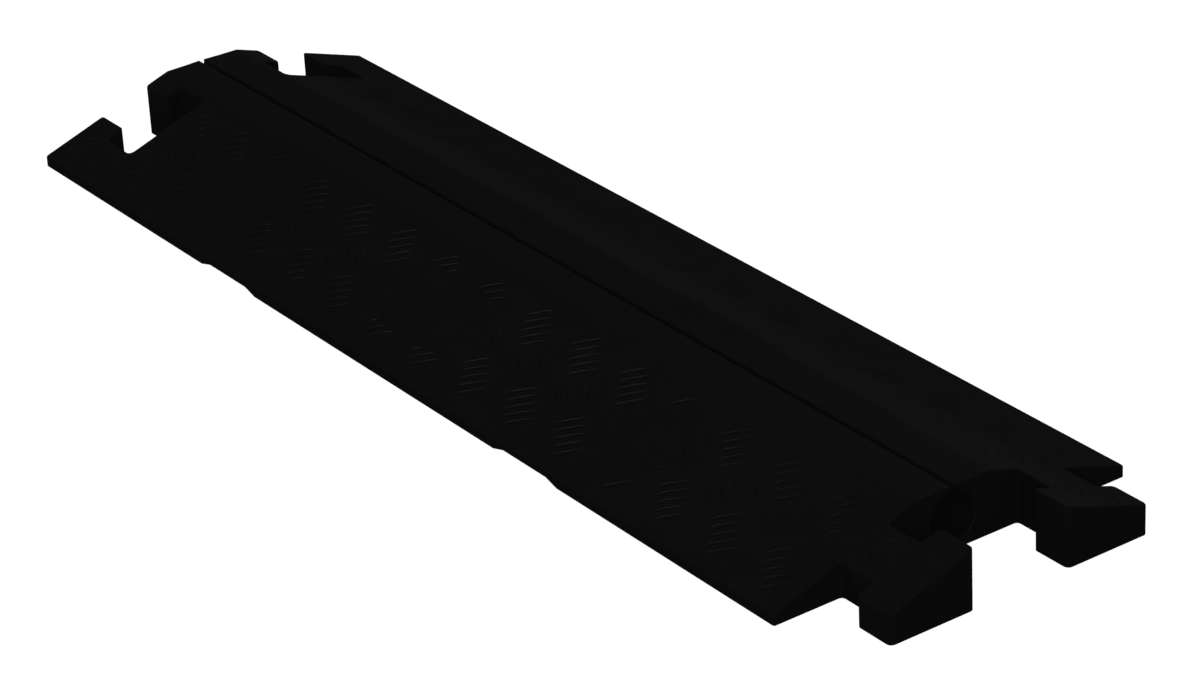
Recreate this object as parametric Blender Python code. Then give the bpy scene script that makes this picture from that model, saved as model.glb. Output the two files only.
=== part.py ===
"""Drop-over cable protector: one moulded polyurethane length with T lugs and matching T slots at its ends.

X runs along the length with the lugs at +X, Y across it, Z up. Metres. The underside lies on z = 0.
"""

from math import asin, atan2, cos, pi, sin

import bmesh
import bpy
from mathutils import Vector

# Section across the length
WIDTH = 0.292
HEIGHT = 0.047
TOE_HEIGHT = 0.0085
FLAT_WIDTH = 0.064
SHOULDER_RADIUS = 0.006

# Cable channel and the slit that opens it on top
CHANNEL_DIAMETER = 0.0375
CHANNEL_CENTRE_Z = 0.0235
CHANNEL_SEGMENTS = 60
MOUTH_CHAMFER = 0.001
SLIT_WIDTH = 0.0036
LIP_RADIUS = 0.0012

# Length, and the joint that couples one length to the next
BODY_LENGTH = 0.9144
JOINT_Y = 0.0725
LUG_REACH = 0.0656
LUG_NECK_LENGTH = 0.0326
LUG_NECK_WIDTH = 0.0376
LUG_HEAD_WIDTH = 0.0684
LUG_CORNER_RADIUS = 0.004
LUG_ROOT_RADIUS = 0.003
JOINT_CLEARANCE = 0.0012

# Rounding of the rim where the ramps and the flat top meet the ends, the lugs and the slots
RIM_RADIUS = 0.0016
RIM_SEGMENTS = 3
RIM_ANGLE = pi / 3

# Finger recesses under the two long edges
FINGER_X = 0.1885
FINGER_LENGTH = 0.0735
FINGER_CEILING = 0.0035
FINGER_DEPTH = 0.022
FINGER_END_SLOPE = 3.5

# Working values
ARC_STEP = pi / 12
OVERRUN = 0.010
MOUTH_OVERRUN = 0.001
SMOOTH_ANGLE = pi / 6
WELD_DISTANCE = 0.000001
FLAT_ANGLE = pi / 1800

X_FAR = -(BODY_LENGTH + LUG_REACH) / 2
X_NEAR = X_FAR + BODY_LENGTH
BODY_CENTRE_X = X_FAR + BODY_LENGTH / 2


def rounded_outline(corners):
    """Points of a closed outline from (x, y, radius) corners, each corner replaced by its fillet."""
    points = []
    count = len(corners)
    for index, (x, y, radius) in enumerate(corners):
        corner = Vector((x, y))
        if radius == 0:
            points.append(corner)
            continue
        before = (Vector(corners[index - 1][:2]) - corner).normalized()
        after = (Vector(corners[(index + 1) % count][:2]) - corner).normalized()
        half_angle = before.angle(after) / 2
        centre = corner + (before + after).normalized() * (radius / sin(half_angle))
        run = radius * cos(half_angle) / sin(half_angle)
        start = corner + before * run - centre
        end = corner + after * run - centre
        turn = atan2(start.x * end.y - start.y * end.x, start.dot(end))
        steps = max(2, round(abs(turn) / ARC_STEP))
        first = atan2(start.y, start.x)
        for step in range(steps + 1):
            angle = first + turn * step / steps
            points.append(centre + Vector((cos(angle), sin(angle))) * radius)
    return points


def channel_corners(radius):
    """The channel in the section plane as (y, z, 0), from its right lip round the bottom to its left lip."""
    opening = asin(SLIT_WIDTH / 2 / radius)
    corners = []
    for step in range(CHANNEL_SEGMENTS + 1):
        angle = opening + (2 * pi - 2 * opening) * step / CHANNEL_SEGMENTS
        corners.append((radius * sin(angle), CHANNEL_CENTRE_Z + radius * cos(angle), 0))
    return corners


def section_outline(flare):
    """The section as (y, z): two ramps, a flat top, the slit and the channel, its radius grown by flare."""
    toe = WIDTH / 2
    shoulder = FLAT_WIDTH / 2
    lip = SLIT_WIDTH / 2
    corners = [
        (-toe, TOE_HEIGHT, 0),
        (-toe, 0, 0),
        (toe, 0, 0),
        (toe, TOE_HEIGHT, 0),
        (shoulder, HEIGHT, SHOULDER_RADIUS),
        (lip, HEIGHT, LIP_RADIUS),
    ]
    corners += channel_corners(CHANNEL_DIAMETER / 2 + flare)
    corners += [(-lip, HEIGHT, LIP_RADIUS), (-shoulder, HEIGHT, SHOULDER_RADIUS)]
    return rounded_outline(corners)


def joint_corners(end_x, centre_y, grow, root_radius, corner_radius):
    """A T seen from above, its neck starting on end_x, as corners from its -Y to its +Y side."""
    neck = LUG_NECK_WIDTH / 2 + grow
    head = LUG_HEAD_WIDTH / 2 + grow
    neck_x = end_x + LUG_NECK_LENGTH - grow
    head_x = end_x + LUG_REACH + grow
    return [
        (end_x, centre_y - neck, root_radius),
        (neck_x, centre_y - neck, root_radius),
        (neck_x, centre_y - head, corner_radius),
        (head_x, centre_y - head, corner_radius),
        (head_x, centre_y + head, corner_radius),
        (neck_x, centre_y + head, corner_radius),
        (neck_x, centre_y + neck, root_radius),
        (end_x, centre_y + neck, root_radius),
    ]


def plan_outline():
    """The plan of the part, wider than the part: lugs out of the +X end, slots into the -X end."""
    side = WIDTH / 2 + OVERRUN
    corners = [(X_NEAR, -side, 0)]
    for centre_y in (-JOINT_Y, JOINT_Y):
        corners += joint_corners(X_NEAR, centre_y, 0, LUG_ROOT_RADIUS, LUG_CORNER_RADIUS)
    corners += [(X_NEAR, side, 0), (X_FAR, side, 0)]
    for centre_y in (JOINT_Y, -JOINT_Y):
        slot = joint_corners(X_FAR, centre_y, JOINT_CLEARANCE, LUG_ROOT_RADIUS, LUG_CORNER_RADIUS)
        corners += slot[::-1]
    corners.append((X_FAR, -side, 0))
    return rounded_outline(corners)


def solid(name, rings):
    """A closed mesh object through rings of equally many points, with a cap at its first and last ring."""
    bm = bmesh.new()
    loops = [[bm.verts.new(point) for point in ring] for ring in rings]
    for lower, upper in zip(loops, loops[1:]):
        for index in range(len(lower)):
            following = (index + 1) % len(lower)
            bm.faces.new((lower[index], lower[following], upper[following], upper[index]))
    bm.faces.new(loops[0][::-1])
    bm.faces.new(loops[-1])
    bmesh.ops.recalc_face_normals(bm, faces=bm.faces)
    mesh = bpy.data.meshes.new(name)
    bm.to_mesh(mesh)
    bm.free()
    result = bpy.data.objects.new(name, mesh)
    bpy.context.scene.collection.objects.link(result)
    return result


def section_prism():
    """The section drawn out along X past both ends of the part, with chamfered channel mouths."""
    mouth = MOUTH_CHAMFER + MOUTH_OVERRUN
    stations = [
        (X_FAR - OVERRUN, mouth),
        (X_FAR - MOUTH_OVERRUN, mouth),
        (X_FAR + MOUTH_CHAMFER, 0),
        (X_NEAR - MOUTH_CHAMFER, 0),
        (X_NEAR + MOUTH_OVERRUN, mouth),
        (X_NEAR + LUG_REACH + OVERRUN, mouth),
    ]
    rings = [[(x, p.x, p.y) for p in section_outline(flare)] for x, flare in stations]
    return solid("protector_body", rings)


def plan_prism():
    """The plan drawn up along Z past the underside and the top of the part."""
    outline = plan_outline()
    return solid("plan_tool", [[(p.x, p.y, z) for p in outline] for z in (-OVERRUN, HEIGHT + OVERRUN)])


def finger_tool(name, centre_x, side):
    """The tool that cuts one finger recess: sloped at both ends and at the inner end, open at the edge."""
    rings = []
    for z in (-FINGER_CEILING, FINGER_CEILING):
        slope = FINGER_END_SLOPE * z
        half = FINGER_LENGTH / 2 - slope
        inner = side * (WIDTH / 2 - FINGER_DEPTH + slope)
        outer = side * (WIDTH / 2 + OVERRUN)
        rings.append([
            (centre_x - half, inner, z),
            (centre_x + half, inner, z),
            (centre_x + half, outer, z),
            (centre_x - half, outer, z),
        ])
    return solid(name, rings)


def polyurethane():
    """The moulded black polyurethane."""
    material = bpy.data.materials.new("black_polyurethane")
    material.use_nodes = True
    shader = material.node_tree.nodes["Principled BSDF"]
    shader.inputs["Base Color"].default_value = (0.012, 0.012, 0.013, 1.0)
    shader.inputs["Roughness"].default_value = 0.55
    return material


def build_body():
    """Cuts the section prism to the plan, then cuts the finger recesses."""
    body = section_prism()
    tools = [("INTERSECT", plan_prism())]
    for side in (-1, 1):
        for place in (-1, 1):
            name = f"finger_tool_{len(tools)}"
            tools.append(("DIFFERENCE", finger_tool(name, BODY_CENTRE_X + place * FINGER_X, side)))
    for operation, tool in tools:
        modifier = body.modifiers.new(tool.name, "BOOLEAN")
        modifier.operation = operation
        modifier.solver = "EXACT"
        modifier.object = tool
    graph = bpy.context.evaluated_depsgraph_get()
    mesh = bpy.data.meshes.new_from_object(body.evaluated_get(graph))
    body.modifiers.clear()
    body.data = mesh
    mesh.name = "protector_body"
    for _, tool in tools:
        bpy.data.objects.remove(tool, do_unlink=True)
    finish(mesh)
    return body


def is_rim(edge):
    """True for a sharp edge of the top surface or of a body corner, away from the slit and the channel."""
    if edge.calc_face_angle(0) < RIM_ANGLE:
        return False
    if any(abs(vert.co.y) < SLIT_WIDTH / 2 + LIP_RADIUS for vert in edge.verts):
        return False
    if any(face.normal.z < -0.1 for face in edge.link_faces):
        return False
    upright = abs(edge.verts[0].co.z - edge.verts[1].co.z) > RIM_RADIUS
    return upright or any(face.normal.z > 0.1 for face in edge.link_faces)


def finish(mesh):
    """Welds the cut mesh, rounds its rim, and triangulates and shades it."""
    bm = bmesh.new()
    bm.from_mesh(mesh)
    bmesh.ops.remove_doubles(bm, verts=bm.verts, dist=WELD_DISTANCE)
    bmesh.ops.dissolve_degenerate(bm, edges=bm.edges, dist=WELD_DISTANCE)
    bmesh.ops.dissolve_limit(bm, angle_limit=FLAT_ANGLE, verts=bm.verts, edges=bm.edges)
    rim = [edge for edge in bm.edges if is_rim(edge)]
    bmesh.ops.bevel(bm, geom=rim, offset=RIM_RADIUS, segments=RIM_SEGMENTS, profile=0.5, affect="EDGES")
    bmesh.ops.remove_doubles(bm, verts=bm.verts, dist=WELD_DISTANCE)
    bmesh.ops.triangulate(bm, faces=bm.faces)
    bmesh.ops.recalc_face_normals(bm, faces=bm.faces)
    for face in bm.faces:
        face.smooth = True
    bm.to_mesh(mesh)
    bm.free()
    mesh.set_sharp_from_angle(angle=SMOOTH_ANGLE)
    mesh.materials.clear()
    mesh.materials.append(polyurethane())


def main():
    for existing in list(bpy.data.objects):
        bpy.data.objects.remove(existing, do_unlink=True)
    build_body()


main()
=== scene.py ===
"""Dressed scene of the drop-over cable protector: the moulding, its raised tread and its material."""

from math import atan2, cos, hypot, pi, radians, sin

import bmesh
import bpy
from mathutils import Matrix, Vector


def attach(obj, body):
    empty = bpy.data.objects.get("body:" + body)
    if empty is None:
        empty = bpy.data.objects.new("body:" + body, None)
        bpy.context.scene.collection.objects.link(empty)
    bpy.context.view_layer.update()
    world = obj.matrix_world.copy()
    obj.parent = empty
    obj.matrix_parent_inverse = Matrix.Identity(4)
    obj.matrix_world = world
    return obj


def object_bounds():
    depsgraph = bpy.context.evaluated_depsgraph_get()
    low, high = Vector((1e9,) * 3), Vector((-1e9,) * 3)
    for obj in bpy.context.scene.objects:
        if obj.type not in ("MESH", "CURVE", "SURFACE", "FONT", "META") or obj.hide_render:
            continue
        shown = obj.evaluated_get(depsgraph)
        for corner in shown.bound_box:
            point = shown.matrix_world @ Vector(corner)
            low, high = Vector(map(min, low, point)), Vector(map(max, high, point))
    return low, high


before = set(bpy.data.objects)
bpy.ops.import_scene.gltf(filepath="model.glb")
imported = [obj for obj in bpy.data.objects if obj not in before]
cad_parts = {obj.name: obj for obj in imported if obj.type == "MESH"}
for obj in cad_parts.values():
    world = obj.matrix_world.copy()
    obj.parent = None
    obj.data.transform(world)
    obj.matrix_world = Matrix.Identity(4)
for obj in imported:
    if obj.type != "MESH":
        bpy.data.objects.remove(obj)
cad_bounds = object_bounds()

# The moulding's outer sizes come from the frame, in metres
low_corner, high_corner = cad_bounds
X_FAR = low_corner[0]
WIDTH = high_corner[1] - low_corner[1]
HEIGHT = high_corner[2]

# Its other sizes are those of the part's source
TOE_HEIGHT = 0.0085
FLAT_WIDTH = 0.064
BODY_LENGTH = 0.9144
JOINT_Y = 0.0725
NECK_LENGTH = 0.0326
NECK_WIDTH = 0.0376
HEAD_WIDTH = 0.0684
JOINT_CLEARANCE = 0.0012

X_NEAR = X_FAR + BODY_LENGTH
CENTRE_X = X_FAR + BODY_LENGTH / 2
LUG_REACH = high_corner[0] - X_NEAR

# The ramp: s is the distance down it from the shoulder
RAMP_RUN = (WIDTH - FLAT_WIDTH) / 2
RAMP_FALL = HEIGHT - TOE_HEIGHT
RAMP_LENGTH = hypot(RAMP_RUN, RAMP_FALL)
RAMP_COS = RAMP_RUN / RAMP_LENGTH
RAMP_SIN = RAMP_FALL / RAMP_LENGTH

# Five-bar tread, in columns half a pitch apart: odd columns have two groups and even ones have one
PITCHES = 16
PITCH = BODY_LENGTH / PITCHES
LAST_COLUMN = 18
ROW_OFFSET = 0.0290
ROW_MIDDLE = RAMP_LENGTH / 2
BAR_LENGTH = 0.0250
BAR_WIDTH = 0.0038
BAR_HEIGHT = 0.00047
BAR_SPACING = 0.0080
BARS = 5
SHORTEST_BAR = 0.0070
DIAGONAL = 0.5 ** 0.5

# A bar's lens shape: how its width and height swell from its blunt ends
LENS_STATIONS = 9
LENS_END = 0.992
LENS_POWER = 3
WIDTH_POWER = 0.5
HEIGHT_POWER = 0.6

# The crowned cross-section of bars and ridges, and how far they sink into the ramp
CROWN_STEPS = 10
SINK = 0.0004

# Square frames standing on a point
FRAME_X = 4.5 * PITCH
FRAME_HALF_DIAGONALS = (0.0388, 0.0312)
FRAME_KEEP_OUT = 0.045
RIDGE_WIDTH = 0.0024
RIDGE_HEIGHT = 0.0004

# The bare field half-way along
FIELD_HALF_LENGTH = 0.060
FIELD_HALF_WIDTH = 0.0300
FIELD_POWER = 4.0
FIELD_STEPS = 40

# The tread stops short of the moulding's rounded rim
RIM_INSET = 0.0023
CORNER_STEPS = 4
CORNER_RADIUS = 0.004
PRISM_MARGIN = 0.010
SHARP_ANGLE = radians(50)

# Two finishes of one material, the tread's smoother and slightly lighter; its lightness is painted
# reflection, standing in for gloss the bars do not catch
MOULDED = {"tone": 1, "roughness": (0.58, 0.66), "specular": 0.2, "sheen": 0.02, "skin_depth": 0.0003}
POLISHED = {"tone": 1.12, "roughness": (0.18, 0.22), "specular": 0.35, "sheen": 0.01, "skin_depth": 0.0002}
IOR = 1.49
SHEEN_ROUGHNESS = 0.3

# Noises, with scales per metre of the object
FLOW_NOISE = {"scale": 9, "detail": 5, "roughness": 0.62, "stretch": (0.5, 1, 1)}
MARKS_NOISE = {"scale": 70, "detail": 6, "roughness": 0.7, "stretch": (0.35, 1, 1)}
SKIN_NOISE = {"scale": 160, "detail": 3, "roughness": 0.5}
GRAIN_NOISE = {"scale": 1500, "detail": 3, "roughness": 0.6}
NOISE_BODY = (0.3, 0.7)

# Linear colours, and the noise values between which they come in
LOW_BLACK = (0.0150, 0.0150, 0.0160)
HIGH_BLACK = (0.0190, 0.0190, 0.0200)
BLACK_RANGE = (0.32, 0.7)
DUST = (0.0340, 0.0340, 0.0335)
DUST_RANGE = (0.54, 0.8)
DUST_AMOUNT = (0, 0.4)

# A faint lift of the blacks, as the photograph has
# Painted light: a faint white glow in the material that lifts every black evenly, though the moulding gives
# no light
PAINTED_GLOW = 0.0013

# Painted sheen: a lighter strip at the top of the far ramp, placed by its y and only on faces that look up,
# standing in for the grazing reflection there
PAINTED_SHEEN = (0.0300, 0.0300, 0.0300)
PAINTED_SHEEN_STARTS = (0.030, 0.042)
PAINTED_SHEEN_ENDS = (0.056, 0.086)
PAINTED_SHEEN_WANDER = 0.012
PAINTED_SHEEN_FACING = (0.6, 0.9)
PAINTED_SHEEN_AMOUNT = (0.75, 1)

# Bumps of the skin and of its grain
SKIN_STRENGTH = 0.35
GRAIN_STRENGTH = 0.3
GRAIN_DEPTH = 0.00008

# The world's strength in diffuse light, in gloss and to the camera
WORLD_LIGHT = 0.05
WORLD_IN_GLOSS = 0.008
WORLD_SHOWN = 1.0

# The floor, bright enough by itself to show white
FLOOR_RADIUS = 60
FLOOR_SIDES = 64
FLOOR_COLOUR = (0.86, 0.86, 0.86, 1)
FLOOR_ROUGHNESS = 0.9
FLOOR_GLOW = 0.98
WHITE = (1, 1, 1, 1)

# Lamps that light the material diffusely and are never seen in it: name, place, target, size, power
LAMPS = (
    ("overhead", (-0.6, 0.4, 2.4), (0, 0, 0), (2.4, 1.6), 1.3),
    ("left", (-5.2, 0.9, 1.9), (0, 0, 0), (2.4, 1.6), 28),
    ("front_left", (-1.0, -2.6, 0.3), (0, 0, 0), (1.8, 0.6), 2.1),
    ("front", (2.3, -1.6, 1.3), (0, 0, 0), (1.4, 1.0), 3.4),
)

# Panels that are seen in its gloss only: the strip gives the bars their glints, the others show the form
PANELS = (
    ("back_strip", (-3.46, 1.60, 0.95), (0, 0, 0.03), (0.52, 0.26), 0.18),
    ("far_panel", (0, 3.0, 0.8), (0, 0, 0), (1.6, 0.8), 0.9),
    ("far_high_panel", (0.3, 2.2, 2.4), (0, 0, 0), (2.0, 1.2), 5),
    ("front_panel", (2.5, -1.8, 1.6), (0, 0, 0), (1.6, 1.0), 7.5),
    ("left_panel", (-1.9, -2.3, 1.7), (0, 0, 0), (1.6, 1.0), 2.5),
)

# The photograph's viewpoint, solved from the moulding's corners
AZIMUTH = radians(55.236)
ELEVATION = radians(27.139)
ROLL = radians(-3.020)
AIM = Vector((CENTRE_X + 0.078414, -0.003074, 0))
DISTANCE = 2.961029
SENSOR_WIDTH = 36
FOCAL_PIXELS = 4211.065
PHOTO_PIXELS = 1200


def ramp_point(x, s, lift, side):
    """The point over a ramp at x from the body's middle, s down the slope and lift above the surface."""
    y = side * (FLAT_WIDTH / 2 + s * RAMP_COS + lift * RAMP_SIN)
    return Vector((CENTRE_X + x, y, HEIGHT - s * RAMP_SIN + lift * RAMP_COS))


def dome(width, height):
    """A crowned cross-section with soft feet and a sunk underside, as (offset, lift) pairs."""
    places = [2 * step / CROWN_STEPS - 1 for step in range(CROWN_STEPS + 1)]
    crown = [(width / 2 * place, height * (1 + cos(pi * place)) / 2) for place in places]
    return [(-width / 2, -SINK)] + crown + [(width / 2, -SINK)]


def loft(bm, rings, closed):
    """Faces between rings of equally many points, with end caps unless the run of rings is closed."""
    loops = [[bm.verts.new(point) for point in ring] for ring in rings]
    pairs = list(zip(loops, loops[1:]))
    if closed:
        pairs.append((loops[-1], loops[0]))
    for first, second in pairs:
        for index in range(len(first)):
            following = (index + 1) % len(first)
            bm.faces.new((first[index], first[following], second[following], second[index]))
    if not closed:
        bm.faces.new(loops[0])
        bm.faces.new(loops[-1][::-1])


def add_bar(bm, start, end, side):
    """One lens-shaped bar from start to end, both (x, s)."""
    along = end - start
    across = Vector((-along.y, along.x)).normalized()
    rings = []
    for station in range(LENS_STATIONS):
        t = sin(pi / 2 * (2 * station / (LENS_STATIONS - 1) - 1))
        t = max(-LENS_END, min(LENS_END, t))
        swell = 1 - abs(t) ** LENS_POWER
        middle = start + along * (t + 1) / 2
        ring = []
        for offset, lift in dome(BAR_WIDTH * swell ** WIDTH_POWER, BAR_HEIGHT * swell ** HEIGHT_POWER):
            x, s = middle + across * offset
            ring.append(ramp_point(x, s, lift, side))
        rings.append(ring)
    loft(bm, rings, closed=False)


def add_frame(bm, centre_x, half_diagonal, side):
    """One square ridge standing on its point."""
    rings = []
    for dx, ds in ((1, 0), (0, 1), (-1, 0), (0, -1)):
        ring = []
        for offset, lift in dome(RIDGE_WIDTH, RIDGE_HEIGHT):
            reach = half_diagonal + offset / DIAGONAL
            ring.append(ramp_point(centre_x + dx * reach, ROW_MIDDLE + ds * reach, lift, side))
        rings.append(ring)
    loft(bm, rings, closed=True)


def in_field(x, s):
    """True inside the bare field half-way along the ramp."""
    across = abs(s - ROW_MIDDLE) / FIELD_HALF_WIDTH
    return (abs(x) / FIELD_HALF_LENGTH) ** FIELD_POWER + across ** FIELD_POWER < 1


def clear_of_field(start, end):
    """The longest stretch of a bar outside the bare field, or None if it is too short to keep."""
    runs = [[]]
    for step in range(FIELD_STEPS + 1):
        point = start.lerp(end, step / FIELD_STEPS)
        if in_field(*point):
            runs.append([])
        else:
            runs[-1].append(point)
    best = max(runs, key=len)
    if len(best) < 2 or (best[-1] - best[0]).length < SHORTEST_BAR:
        return None
    return best[0], best[-1]


def bars():
    """The (start, end) of every bar of one ramp, in groups of five that alternate in direction."""
    for column in range(-LAST_COLUMN, LAST_COLUMN + 1):
        if column % 2:
            rows = (ROW_MIDDLE - ROW_OFFSET, ROW_MIDDLE + ROW_OFFSET)
            along = Vector((DIAGONAL, -DIAGONAL))
            step = Vector((DIAGONAL, DIAGONAL))
        else:
            rows = (ROW_MIDDLE,)
            along = Vector((DIAGONAL, DIAGONAL))
            step = Vector((DIAGONAL, -DIAGONAL))
        for row in rows:
            for index in range(BARS):
                place = index - (BARS - 1) / 2
                centre = Vector((column * PITCH / 2, row)) + step * BAR_SPACING * place
                if abs(abs(centre.x) - FRAME_X) + abs(centre.y - ROW_MIDDLE) < FRAME_KEEP_OUT:
                    continue
                half = along * BAR_LENGTH / 2
                kept = clear_of_field(centre - half, centre + half)
                if kept:
                    yield kept


def rounded(corners):
    """Points of a closed outline, each (x, y, rounds) corner that rounds replaced by a short arc."""
    points = []
    count = len(corners)
    for index, (x, y, rounds) in enumerate(corners):
        corner = Vector((x, y))
        if not rounds:
            points.append(corner)
            continue
        before = (Vector(corners[index - 1][:2]) - corner).normalized()
        after = (Vector(corners[(index + 1) % count][:2]) - corner).normalized()
        centre = corner + (before + after) * CORNER_RADIUS
        first = atan2(-after.y, -after.x)
        last = atan2(-before.y, -before.x)
        turn = (last - first + pi) % (2 * pi) - pi
        for step in range(CORNER_STEPS + 1):
            angle = first + turn * step / CORNER_STEPS
            points.append(centre + Vector((cos(angle), sin(angle))) * CORNER_RADIUS)
    return points


def tee(mouth_x, neck_x, head_x, centre_y, neck, head):
    """A T seen from above from its -Y to its +Y side, given by half its neck's and half its head's width."""
    return [
        (mouth_x, centre_y - neck, False),
        (neck_x, centre_y - neck, False),
        (neck_x, centre_y - head, True),
        (head_x, centre_y - head, True),
        (head_x, centre_y + head, True),
        (neck_x, centre_y + head, True),
        (neck_x, centre_y + neck, False),
        (mouth_x, centre_y + neck, False),
    ]


def tread_limit():
    """A prism over the moulding's plan, inset from its rim, that the tread is cut to."""
    inset = RIM_INSET
    side = WIDTH / 2 - inset
    corners = [(X_NEAR - inset, -side, False)]
    for centre_y in (-JOINT_Y, JOINT_Y):
        neck = NECK_WIDTH / 2 - inset
        head = HEAD_WIDTH / 2 - inset
        neck_x = X_NEAR + NECK_LENGTH + inset
        corners += tee(X_NEAR - inset, neck_x, X_NEAR + LUG_REACH - inset, centre_y, neck, head)
    corners += [(X_NEAR - inset, side, False), (X_FAR + inset, side, False)]
    for centre_y in (JOINT_Y, -JOINT_Y):
        neck = NECK_WIDTH / 2 + JOINT_CLEARANCE + inset
        head = HEAD_WIDTH / 2 + JOINT_CLEARANCE + inset
        neck_x = X_FAR + NECK_LENGTH - JOINT_CLEARANCE - inset
        head_x = X_FAR + LUG_REACH + JOINT_CLEARANCE + inset
        corners += tee(X_FAR + inset, neck_x, head_x, centre_y, neck, head)[::-1]
    corners.append((X_FAR + inset, -side, False))
    outline = rounded(corners)
    levels = (-PRISM_MARGIN, HEIGHT + PRISM_MARGIN)
    bm = bmesh.new()
    loft(bm, [[(point.x, point.y, z) for point in outline] for z in levels], closed=False)
    return mesh_object("tread_limit", bm)


def mesh_object(name, bm):
    """Turns a bmesh into a linked object with its faces turned outwards."""
    bmesh.ops.recalc_face_normals(bm, faces=bm.faces)
    mesh = bpy.data.meshes.new(name)
    bm.to_mesh(mesh)
    bm.free()
    made = bpy.data.objects.new(name, mesh)
    bpy.context.scene.collection.objects.link(made)
    return made


def evaluated_mesh(piece):
    """The piece's mesh with its modifiers applied."""
    graph = bpy.context.evaluated_depsgraph_get()
    return bpy.data.meshes.new_from_object(piece.evaluated_get(graph))


def tread_piece(name, build, limit):
    """A tread piece of many closed solids, cut to the plan and shaded smooth."""
    bm = bmesh.new()
    build(bm)
    piece = mesh_object(name, bm)
    cut = piece.modifiers.new("plan", "BOOLEAN")
    cut.operation = "INTERSECT"
    cut.solver = "EXACT"
    cut.object = limit
    mesh = evaluated_mesh(piece)
    piece.modifiers.clear()
    piece.data = mesh
    mesh.name = name
    mesh.materials.clear()
    mesh.shade_smooth()
    mesh.set_sharp_from_angle(angle=SHARP_ANGLE)
    return piece


def build_bars(bm):
    """The bars of both ramps."""
    for side in (-1, 1):
        for start, end in bars():
            add_bar(bm, start, end, side)


def build_frames(bm):
    """The square frames of both ramps, two ridges each."""
    for side in (-1, 1):
        for centre_x in (-FRAME_X, FRAME_X):
            for half_diagonal in FRAME_HALF_DIAGONALS:
                add_frame(bm, centre_x, half_diagonal, side)


def noise(tree, place, scale, detail, roughness, stretch=(1, 1, 1)):
    """Noise in the object's own coordinates."""
    mapping = tree.nodes.new("ShaderNodeMapping")
    mapping.inputs["Scale"].default_value = stretch
    tree.links.new(place.outputs["Object"], mapping.inputs["Vector"])
    texture = tree.nodes.new("ShaderNodeTexNoise")
    texture.inputs["Scale"].default_value = scale
    texture.inputs["Detail"].default_value = detail
    texture.inputs["Roughness"].default_value = roughness
    tree.links.new(mapping.outputs["Vector"], texture.inputs["Vector"])
    return texture.outputs["Fac"]


def spread(tree, source, from_range, to_range):
    """A source mapped from one range to another and held at its ends."""
    node = tree.nodes.new("ShaderNodeMapRange")
    for name, value in zip(("From Min", "From Max", "To Min", "To Max"), (*from_range, *to_range)):
        node.inputs[name].default_value = value
    tree.links.new(source, node.inputs["Value"])
    return node.outputs["Result"]


def combine(tree, operation, first, second):
    """Two sources in one arithmetic operation."""
    node = tree.nodes.new("ShaderNodeMath")
    node.operation = operation
    tree.links.new(first, node.inputs[0])
    tree.links.new(second, node.inputs[1])
    return node.outputs["Value"]


def part_of(tree, source, axis):
    """One axis of a vector source."""
    node = tree.nodes.new("ShaderNodeSeparateXYZ")
    tree.links.new(source, node.inputs["Vector"])
    return node.outputs[axis]


def blend(tree, factor, first, second):
    """A colour from first to second, each either a source or a constant colour."""
    node = tree.nodes.new("ShaderNodeMix")
    node.data_type = "RGBA"
    tree.links.new(factor, node.inputs["Factor"])
    for name, colour in (("A", first), ("B", second)):
        if isinstance(colour, bpy.types.NodeSocket):
            tree.links.new(colour, node.inputs[name])
        else:
            node.inputs[name].default_value = (*colour, 1)
    return node.outputs["Result"]


def bump(tree, height, strength, depth, under=None):
    """A bump of a height source, on top of another bump if one is given."""
    node = tree.nodes.new("ShaderNodeBump")
    node.inputs["Strength"].default_value = strength
    node.inputs["Distance"].default_value = depth
    tree.links.new(height, node.inputs["Height"])
    if under is not None:
        tree.links.new(under, node.inputs["Normal"])
    return node.outputs["Normal"]


def painted_sheen_band(tree, place, flow, marks):
    """How much painted sheen a spot gets: a strip that wanders with the flow, on faces that look up, broken
    unevenly by the marks.
    """
    sway = spread(tree, flow, NOISE_BODY, (-PAINTED_SHEEN_WANDER / 2, PAINTED_SHEEN_WANDER / 2))
    y = combine(tree, "ADD", part_of(tree, place.outputs["Object"], "Y"), sway)
    upward = part_of(tree, place.outputs["Normal"], "Z")
    strength = spread(tree, y, PAINTED_SHEEN_STARTS, (0, 1))
    for factor in (
        spread(tree, y, PAINTED_SHEEN_ENDS, (1, 0)),
        spread(tree, upward, PAINTED_SHEEN_FACING, (0, 1)),
        spread(tree, marks, NOISE_BODY, PAINTED_SHEEN_AMOUNT),
    ):
        strength = combine(tree, "MULTIPLY", strength, factor)
    return strength


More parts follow.
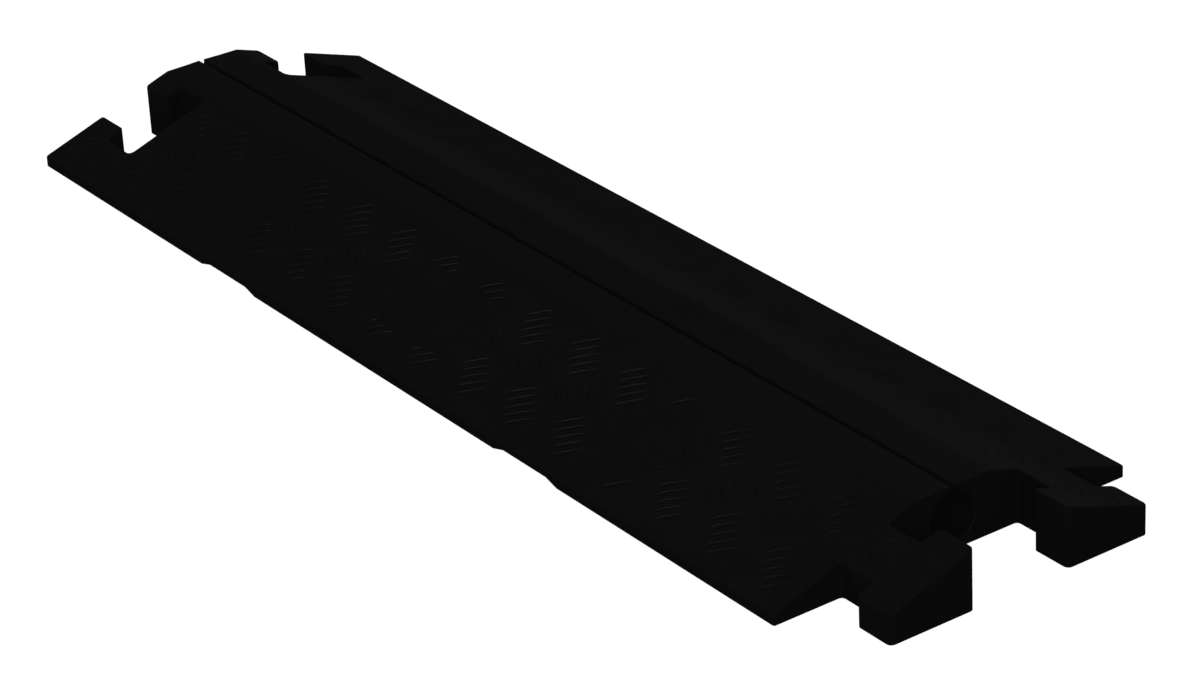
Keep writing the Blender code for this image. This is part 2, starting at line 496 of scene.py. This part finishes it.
def polyurethane(name, tone, roughness, specular, sheen, skin_depth):
    """Moulded black polyurethane: skin, grain, flow mottling, handling marks and a strip of painted sheen.
    """
    material = bpy.data.materials.new(name)
    material.use_nodes = True
    tree = material.node_tree
    shader = tree.nodes["Principled BSDF"]
    shader.inputs["IOR"].default_value = IOR
    shader.inputs["Specular IOR Level"].default_value = specular
    shader.inputs["Sheen Weight"].default_value = sheen
    shader.inputs["Sheen Roughness"].default_value = SHEEN_ROUGHNESS
    # Painted light: the faint white glow that lifts the blacks
    shader.inputs["Emission Color"].default_value = WHITE
    shader.inputs["Emission Strength"].default_value = PAINTED_GLOW

    place = tree.nodes.new("ShaderNodeTexCoord")
    flow = noise(tree, place, **FLOW_NOISE)
    marks = noise(tree, place, **MARKS_NOISE)

    # A tone above 1 lightens the colour as painted reflection
    low, high = [[tone * value for value in black] for black in (LOW_BLACK, HIGH_BLACK)]
    colour = blend(tree, spread(tree, flow, BLACK_RANGE, (0, 1)), low, high)
    colour = blend(tree, spread(tree, marks, DUST_RANGE, DUST_AMOUNT), colour, DUST)
    # Painted sheen: the lighter strip along the top of the far ramp
    colour = blend(tree, painted_sheen_band(tree, place, flow, marks), colour, PAINTED_SHEEN)
    tree.links.new(colour, shader.inputs["Base Color"])
    tree.links.new(spread(tree, flow, NOISE_BODY, roughness), shader.inputs["Roughness"])

    skin = bump(tree, noise(tree, place, **SKIN_NOISE), SKIN_STRENGTH, skin_depth)
    grain = bump(tree, noise(tree, place, **GRAIN_NOISE), GRAIN_STRENGTH, GRAIN_DEPTH, skin)
    tree.links.new(grain, shader.inputs["Normal"])
    return material


def floor_material():
    """Plain pale studio floor."""
    material = bpy.data.materials.new("studio_floor")
    material.use_nodes = True
    shader = material.node_tree.nodes["Principled BSDF"]
    shader.inputs["Base Color"].default_value = FLOOR_COLOUR
    shader.inputs["Roughness"].default_value = FLOOR_ROUGHNESS
    shader.inputs["Specular IOR Level"].default_value = 0
    shader.inputs["Emission Color"].default_value = WHITE
    shader.inputs["Emission Strength"].default_value = FLOOR_GLOW
    return material


def make_floor():
    """A wide pale disc that sends no light back to the object."""
    bm = bmesh.new()
    bmesh.ops.create_circle(bm, cap_ends=True, radius=FLOOR_RADIUS, segments=FLOOR_SIDES)
    floor = mesh_object("studio_floor", bm)
    floor.data.materials.append(floor_material())
    floor.visible_glossy = False
    floor.visible_diffuse = False


def make_world():
    """Even soft light all round, white behind the floor and only dim in gloss."""
    world = bpy.data.worlds.new("studio")
    bpy.context.scene.world = world
    world.use_nodes = True
    nodes = world.node_tree.nodes
    links = world.node_tree.links
    rays = nodes.new("ShaderNodeLightPath")
    shown = nodes["Background"]
    shown.inputs["Color"].default_value = WHITE
    shown.inputs["Strength"].default_value = WORLD_LIGHT
    for ray, strength in (("Is Glossy Ray", WORLD_IN_GLOSS), ("Is Camera Ray", WORLD_SHOWN)):
        other = nodes.new("ShaderNodeBackground")
        other.inputs["Color"].default_value = WHITE
        other.inputs["Strength"].default_value = strength
        mix = nodes.new("ShaderNodeMixShader")
        links.new(rays.outputs[ray], mix.inputs["Fac"])
        links.new(shown.outputs[0], mix.inputs[1])
        links.new(other.outputs["Background"], mix.inputs[2])
        shown = mix
    links.new(shown.outputs[0], nodes["World Output"].inputs["Surface"])


def add_light(name, place, target, size, power, glossy):
    """A soft rectangular light turned to its target, for gloss alone or for diffuse light alone."""
    data = bpy.data.lights.new(name, "AREA")
    data.shape = "RECTANGLE"
    data.size, data.size_y = size
    data.energy = power
    light = bpy.data.objects.new(name, data)
    bpy.context.scene.collection.objects.link(light)
    light.location = place
    light.rotation_mode = "QUATERNION"
    light.rotation_quaternion = (Vector(target) - Vector(place)).to_track_quat("-Z", "Y")
    light.visible_glossy = glossy
    light.visible_diffuse = not glossy
    light.visible_camera = False


def make_lights():
    """The lamps, then the panels."""
    for lamp in LAMPS:
        add_light(*lamp, glossy=False)
    for panel in PANELS:
        add_light(*panel, glossy=True)


def make_camera():
    """The photograph's viewpoint as the scene's camera."""
    back = Vector((sin(AZIMUTH) * cos(ELEVATION), -cos(AZIMUTH) * cos(ELEVATION), sin(ELEVATION)))
    right = (-back).cross(Vector((0, 0, 1))).normalized()
    up = back.cross(right)
    right_rolled = right * cos(ROLL) + up * sin(ROLL)
    up_rolled = up * cos(ROLL) - right * sin(ROLL)
    data = bpy.data.cameras.new("camera")
    data.sensor_width = SENSOR_WIDTH
    data.lens = FOCAL_PIXELS * SENSOR_WIDTH / PHOTO_PIXELS
    camera = bpy.data.objects.new("camera", data)
    bpy.context.scene.collection.objects.link(camera)
    rotation = Matrix((right_rolled, up_rolled, back)).transposed()
    camera.matrix_world = Matrix.Translation(AIM + back * DISTANCE) @ rotation.to_4x4()
    bpy.context.scene.camera = camera


def dress():
    """The moulding's material and the two pieces of the tread."""
    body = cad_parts["protector_body"]
    body.data.materials.clear()
    body.data.materials.append(polyurethane("moulded_polyurethane", **MOULDED))
    polished = polyurethane("polished_polyurethane", **POLISHED)
    limit = tread_limit()
    for name, build in (("tread_bars", build_bars), ("tread_frames", build_frames)):
        piece = tread_piece(name, build, limit)
        piece.data.materials.append(polished)
        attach(piece, "root")
    bpy.data.objects.remove(limit, do_unlink=True)


make_camera()
dress()
make_floor()
make_world()
make_lights()
bpy.context.scene.view_settings.view_transform = "Standard"
